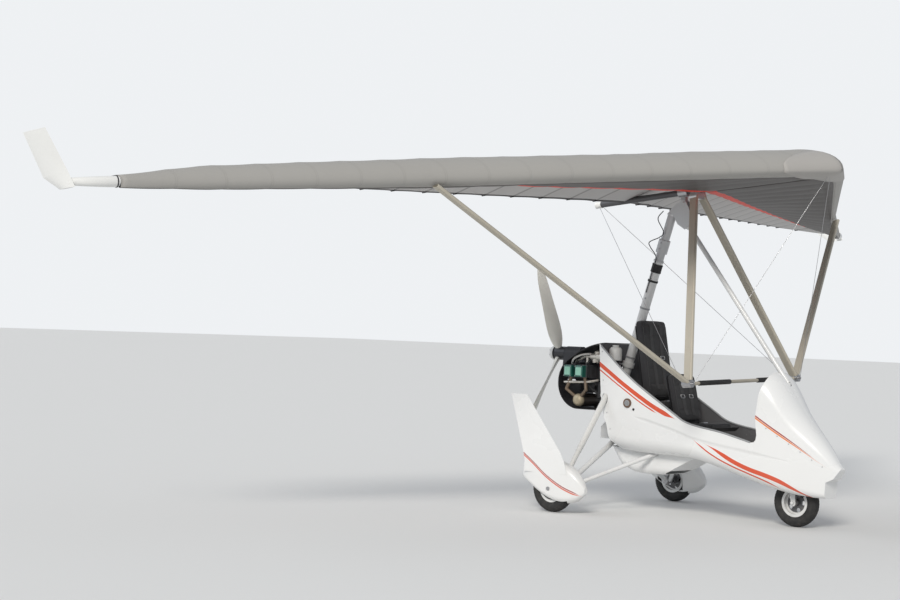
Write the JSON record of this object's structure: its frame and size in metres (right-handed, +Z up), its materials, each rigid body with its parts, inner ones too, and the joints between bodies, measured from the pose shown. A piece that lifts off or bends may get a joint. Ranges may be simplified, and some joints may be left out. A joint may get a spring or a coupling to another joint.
{
  "type": "ultralight aircraft",
  "caption": "Weight-shift ultralight: strut-braced flex wing with winglets over a two-seat tandem pod on three wheels, with a pusher propeller and faired main wheels.",
  "frame": {"origin": "on the ground under the middle of the whole aircraft, as it is parked", "axes": "+X forward, +Y to port (the longest extent, the span), +Z up"},
  "size_m": [3.4663, 11.1015, 3.1256],
  "materials": {
    "pod_white": "gloss moulded fibreglass, white with orange stripes",
    "frame_white": "gloss white paint",
    "frame_grey": "grey anodised tube",
    "bare_alloy": "bare alloy",
    "strut_champagne": "satin grey anodised",
    "keel_dark": "dark anodised tube",
    "steel_fittings": "brushed",
    "shock_grey": "satin grey",
    "seat_black": "black woven upholstery",
    "panel_black": "satin black",
    "cowl_dark": "satin black moulding",
    "radiator_core": "dark fins",
    "tyre_rubber": "matte rubber",
    "rim_alloy": "satin white paint",
    "engine_metal": "cast alloy",
    "engine_block": "dark cast alloy",
    "rocker_green": "green paint",
    "pipe_silver": "heat-dulled steel",
    "muffler_cream": "heat-tinted steel",
    "filler_dark": "dark brown",
    "prop_cream": "cream composite",
    "hub_dark": "dark anodised",
    "sail_cloth": "light warm grey cloth over a dark undersurface",
    "winglet_white": "white moulding"
  },
  "bodies": {
    "chassis": {"pod_tub": "pod_white", "nose_cowl": "pod_white", "rear_bulkhead": "pod_white", "instrument_panel": "panel_black", "dash_post": "frame_white", "keel_beam": "frame_white", "mast_lower": "frame_white", "mast_upper": "frame_grey", "mast_head": "bare_alloy", "front_strut": "bare_alloy", "seat_frame": "panel_black", "front_seat_cushion": "seat_black", "front_seat_back": "seat_black", "rear_seat_cushion": "seat_black", "rear_seat_back": "seat_black", "belly_fairing": "pod_white", "radiator": "radiator_core", "hub_carriers": "steel_fittings", "gear_legs": "frame_white", "shock_beam": "frame_white", "shock_struts": "shock_grey", "wheel_spat_left": "pod_white", "wheel_spat_right": "pod_white", "engine_case": "engine_block", "engine_cylinders": "engine_metal", "rocker_covers": "rocker_green", "intakes": "pipe_silver", "muffler": "muffler_cream", "exhaust_pipes": "pipe_silver", "engine_mount": "frame_white", "engine_cowl": "cowl_dark", "fuel_cap": "filler_dark"},
    "hang_block": {"hang_block": "steel_fittings"},
    "wing": {"keel_tube": "keel_dark", "keel_end_fitting": "winglet_white", "apex_bracket": "bare_alloy", "corner_fittings": "steel_fittings", "basebar": "strut_champagne", "sail_left": "sail_cloth", "sail_right": "sail_cloth", "nose_cap": "sail_cloth", "downtubes": "strut_champagne", "lift_struts": "strut_champagne", "stays": "steel_fittings", "winglet_left": "winglet_white", "winglet_right": "winglet_white"},
    "propeller": {"propeller_hub": "hub_dark", "propeller_blades": "prop_cream"},
    "nose_fork": {"nose_fork": "frame_white", "foot_bar": "panel_black"},
    "nose_wheel": {"nose_tyre": "tyre_rubber", "nose_rim": "rim_alloy"},
    "main_wheel_left": {"main_tyre_left": "tyre_rubber", "main_rim_left": "rim_alloy"},
    "main_wheel_right": {"main_tyre_right": "tyre_rubber", "main_rim_right": "rim_alloy"}
  },
  "joints": [
    {"name": "wing_pitch", "type": "hinge", "parent": "chassis", "child": "hang_block", "pos_m": [0.1243, 0, 2.68648], "axis": [0, -1, 0], "range_deg": [-8, 10]},
    {"name": "wing_roll", "type": "hinge", "parent": "hang_block", "child": "wing", "pos_m": [0.115, 0, 2.776], "axis": [0.9946, 0, 0.1033], "range_deg": [-11.74, 8.26]},
    {"name": "nose_steering", "type": "hinge", "parent": "chassis", "child": "nose_fork", "pos_m": [1.26911, 0, 0.54], "axis": [-0.1736, 0, 0.9848], "range_deg": [-20, 20]},
    {"name": "nose_wheel_spin", "type": "hinge", "parent": "nose_fork", "child": "nose_wheel", "pos_m": [1.318, 0, 0.2], "axis": [0, 1, 0], "continuous": true},
    {"name": "main_wheel_left_spin", "type": "hinge", "parent": "chassis", "child": "main_wheel_left", "pos_m": [-0.485, 0.922, 0.2], "axis": [0, 1, 0], "continuous": true},
    {"name": "main_wheel_right_spin", "type": "hinge", "parent": "chassis", "child": "main_wheel_right", "pos_m": [-0.485, -0.922, 0.2], "axis": [0, 1, 0], "continuous": true},
    {"name": "propeller_spin", "type": "hinge", "parent": "chassis", "child": "propeller", "pos_m": [-1.169, 0, 1.334], "axis": [1, 0, 0], "continuous": true}
  ]
}
